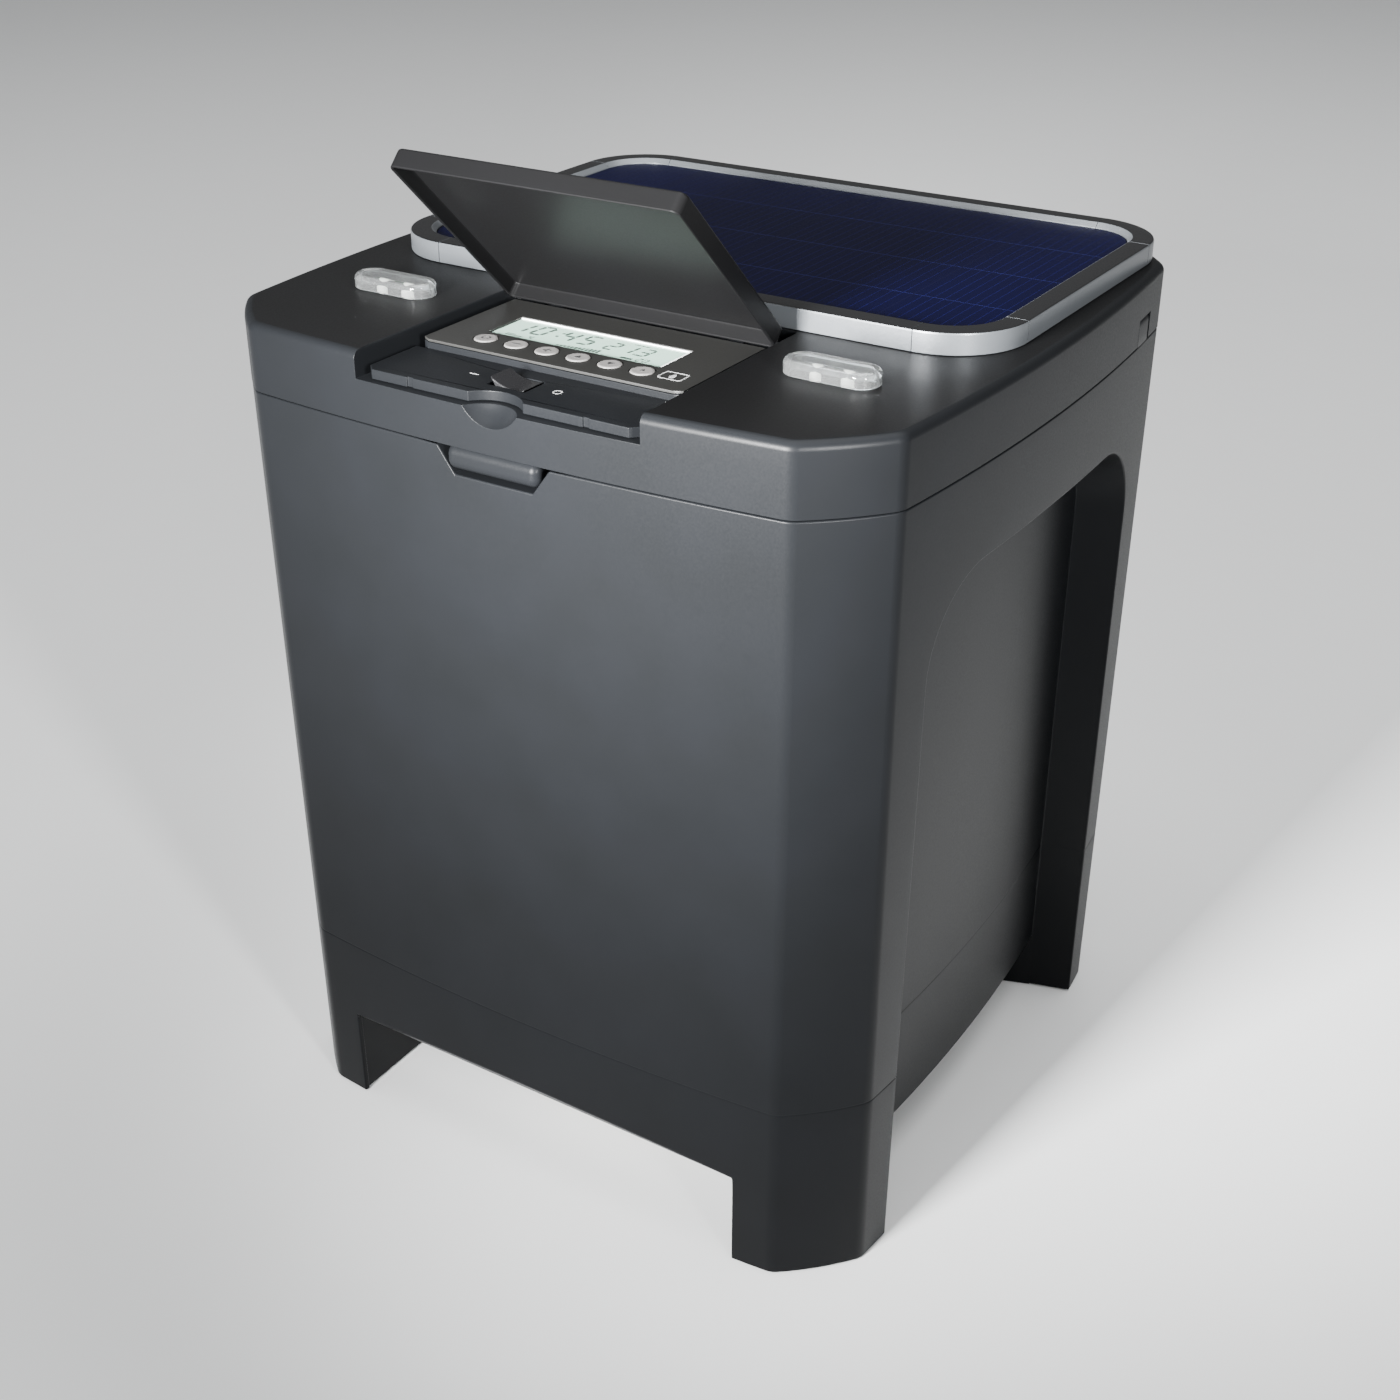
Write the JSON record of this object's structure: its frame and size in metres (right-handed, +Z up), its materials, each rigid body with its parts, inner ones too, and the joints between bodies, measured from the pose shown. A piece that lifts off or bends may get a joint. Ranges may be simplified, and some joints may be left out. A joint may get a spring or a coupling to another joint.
{
  "type": "automatic feed dispenser",
  "caption": "Box-shaped solar automatic feed dispenser on legs: hinged lid with solar panel, lamps, display pocket with hinged flap, keys and switch; hopper, dosing wheel and spinner inside.",
  "frame": {"origin": "on the ground under the middle of the overall width and depth", "axes": "+X to the right seen from the display side, +Y to the hinge side at the back, +Z up"},
  "size_m": [0.366, 0.3726, 0.5172],
  "materials": {
    "satin_black_abs": "satin",
    "gloss_black_abs": "semi-gloss",
    "fascia": "fine matt film",
    "keys": "matt",
    "lcd": "smooth",
    "clear_acrylic": "polished",
    "led_epoxy": "smooth",
    "frame_grey": "satin",
    "solar_cell": "smooth laminate",
    "steel": "bright",
    "hopper_grey": "matt",
    "rubber": "matt",
    "nylon": "natural",
    "board": "solder mask",
    "cell_wrap": "shrink film"
  },
  "bodies": {
    "body": {"body_shell": "satin_black_abs", "base_panel": "satin_black_abs", "foot_pad_front_left": "rubber", "foot_pad_front_right": "rubber", "foot_pad_rear_left": "rubber", "foot_pad_rear_right": "rubber", "lid_hinge_pin_left": "steel", "lid_hinge_pin_right": "steel", "hopper": "hopper_grey", "dosing_housing": "nylon", "dosing_motor": "steel", "motor_bracket": "steel", "spinner_motor": "steel"},
    "lid": {"lid_shell": "satin_black_abs", "lid_liner": "hopper_grey", "lid_gasket": "rubber", "battery_pack": "cell_wrap", "display_housing": "gloss_black_abs", "display_fascia": "fascia", "lcd_panel": "lcd", "control_board": "board", "switch_panel": "gloss_black_abs", "flap_pin_left": "steel", "flap_pin_right": "steel", "lamp_lens_left": "clear_acrylic", "led_board_left": "board", "led_left_outer": "led_epoxy", "led_left_inner": "led_epoxy", "lamp_lens_right": "clear_acrylic", "led_board_right": "board", "led_right_outer": "led_epoxy", "led_right_inner": "led_epoxy", "frame_rail_front": "frame_grey", "frame_rail_rear": "frame_grey", "frame_rail_left": "frame_grey", "frame_rail_right": "frame_grey", "frame_corner_front_left": "frame_grey", "frame_corner_front_right": "frame_grey", "frame_corner_rear_left": "frame_grey", "frame_corner_rear_right": "frame_grey", "panel_backing": "hopper_grey", "solar_panel": "solar_cell"},
    "flap": {"display_flap": "satin_black_abs"},
    "rocker": {"rocker_switch": "gloss_black_abs"},
    "doser": {"dosing_wheel": "nylon", "dosing_gear": "nylon"},
    "pinion": {"drive_pinion": "steel"},
    "spinner": {"spinner_disc": "nylon"},
    "key_1": {"key_1": "keys"},
    "key_2": {"key_2": "keys"},
    "key_3": {"key_3": "keys"},
    "key_4": {"key_4": "keys"},
    "key_5": {"key_5": "keys"},
    "key_6": {"key_6": "keys"}
  },
  "joints": [
    {"name": "lid_hinge", "type": "hinge", "parent": "body", "child": "lid", "pos_m": [0, 0.18125, 0.4035], "axis": [-1, 0, 0], "range_deg": [0, 85]},
    {"name": "flap_hinge", "type": "hinge", "parent": "lid", "child": "flap", "pos_m": [0, -0.06445, 0.431], "axis": [-1, 0, 0], "range_deg": [-44, 48]},
    {"name": "rocker_tilt", "type": "hinge", "parent": "lid", "child": "rocker", "pos_m": [-0.0035, -0.16125, 0.427], "axis": [0, 1, 0], "range_deg": [-22, 0]},
    {"name": "doser_spin", "type": "hinge", "parent": "body", "child": "doser", "pos_m": [0, -0.05325, 0.098], "axis": [1, 0, 0], "continuous": true},
    {"name": "pinion_spin", "type": "hinge", "parent": "body", "child": "pinion", "pos_m": [0.049, -0.02025, 0.098], "axis": [1, 0, 0], "continuous": true},
    {"name": "spinner_spin", "type": "hinge", "parent": "body", "child": "spinner", "pos_m": [0, -0.09525, 0.045], "axis": [0, 0, 1], "continuous": true},
    {"name": "key_1_press", "type": "slide", "parent": "lid", "child": "key_1", "axis": [0, 0, -1], "range_m": [0, 0.0006], "stiffness_N_per_m": 300},
    {"name": "key_2_press", "type": "slide", "parent": "lid", "child": "key_2", "axis": [0, 0, -1], "range_m": [0, 0.0006], "stiffness_N_per_m": 300},
    {"name": "key_3_press", "type": "slide", "parent": "lid", "child": "key_3", "axis": [0, 0, -1], "range_m": [0, 0.0006], "stiffness_N_per_m": 300},
    {"name": "key_4_press", "type": "slide", "parent": "lid", "child": "key_4", "axis": [0, 0, -1], "range_m": [0, 0.0006], "stiffness_N_per_m": 300},
    {"name": "key_5_press", "type": "slide", "parent": "lid", "child": "key_5", "axis": [0, 0, -1], "range_m": [0, 0.0006], "stiffness_N_per_m": 300},
    {"name": "key_6_press", "type": "slide", "parent": "lid", "child": "key_6", "axis": [0, 0, -1], "range_m": [0, 0.0006], "stiffness_N_per_m": 300}
  ],
  "couplings": [
    {"joint": "doser_spin", "follows": "pinion_spin", "ratio": -0.375}
  ]
}
